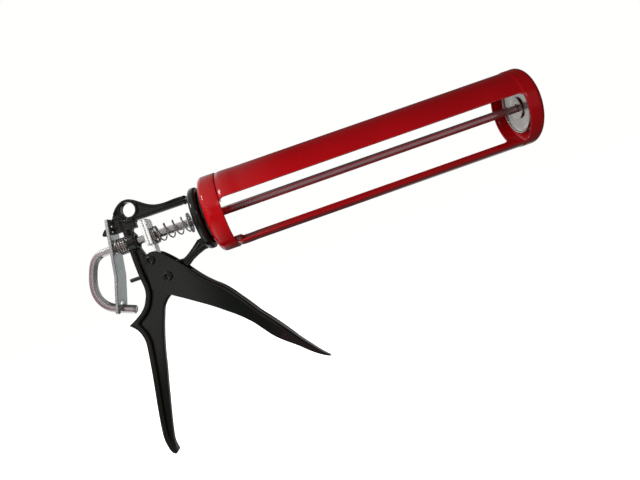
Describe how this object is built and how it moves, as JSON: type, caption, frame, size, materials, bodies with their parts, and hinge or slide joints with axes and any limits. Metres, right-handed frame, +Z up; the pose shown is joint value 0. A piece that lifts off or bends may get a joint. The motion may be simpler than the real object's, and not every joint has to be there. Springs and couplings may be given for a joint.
{
  "type": "caulking gun",
  "caption": "Hand caulking gun with a revolving open cradle, hooked push rod, friction drive plates, sprung trigger and thumb release.",
  "frame": {"origin": "centre of the bounding box of the tool at rest, rod fully forward and trigger open", "axes": "+X forward along the push rod and cradle axis, from the hook to the nozzle end; +Y sideways; +Z up, with the pistol grip pointing down"},
  "size_m": [0.3379, 0.0552, 0.1808],
  "materials": {
    "red_paint": "glossy red paint on sheet steel",
    "black_casting": "semi-gloss black paint on a cast handle",
    "black_sheet": "semi-gloss black paint on pressed steel",
    "zinc_plate": "bright zinc plating, fine rolled grain",
    "rod_steel": "bright plated drawn hexagon bar",
    "spring_wire": "bright spring wire"
  },
  "bodies": {
    "handle": {"handle_frame": "black_casting", "trigger_pivot_pin": "black_sheet", "swivel_collar": "black_casting", "swivel_nut": "zinc_plate", "spring_seat_washer": "zinc_plate", "return_spring": "spring_wire", "release_spring": "spring_wire"},
    "cradle": {"rear_cup": "red_paint", "front_cup": "red_paint", "upper_arm": "red_paint", "lower_arm": "red_paint", "swivel_washer": "zinc_plate"},
    "push_rod": {"plunger_rod": "rod_steel", "pusher_washer": "zinc_plate", "pusher_disc": "zinc_plate", "pusher_nut": "zinc_plate"},
    "trigger": {"trigger": "black_sheet", "drive_pin": "black_sheet", "drive_roller": "zinc_plate"},
    "drive": {"drive_plate": "zinc_plate", "drive_backing_plate": "zinc_plate"},
    "release": {"release_plate": "zinc_plate"}
  },
  "joints": [
    {"name": "cradle_spin", "type": "hinge", "parent": "handle", "child": "cradle", "pos_m": [-0.07015, 0, 0.0602], "axis": [1, 0, 0], "continuous": true},
    {"name": "rod_slide", "type": "slide", "parent": "handle", "child": "push_rod", "axis": [1, 0, 0], "range_m": [-0.22, 0]},
    {"name": "trigger_squeeze", "type": "hinge", "parent": "handle", "child": "trigger", "pos_m": [-0.11195, 0, 0.0292], "axis": [0, 1, 0], "range_deg": [0, 40], "stiffness_Nm_per_rad": 0.35, "springref_deg": -28.65},
    {"name": "drive_stroke", "type": "slide", "parent": "handle", "child": "drive", "axis": [1, 0, 0], "range_m": [0, 0.0112], "deforming": ["return_spring"]},
    {"name": "release_press", "type": "hinge", "parent": "handle", "child": "release", "pos_m": [-0.13975, 0, 0.0695], "axis": [0, -1, 0], "range_deg": [0, 9], "stiffness_Nm_per_rad": 0.5, "springref_deg": -20.05, "deforming": ["release_spring"]}
  ],
  "couplings": [
    {"joint": "drive_stroke", "follows": "trigger_squeeze", "m_per_rad": 0.01587}
  ]
}
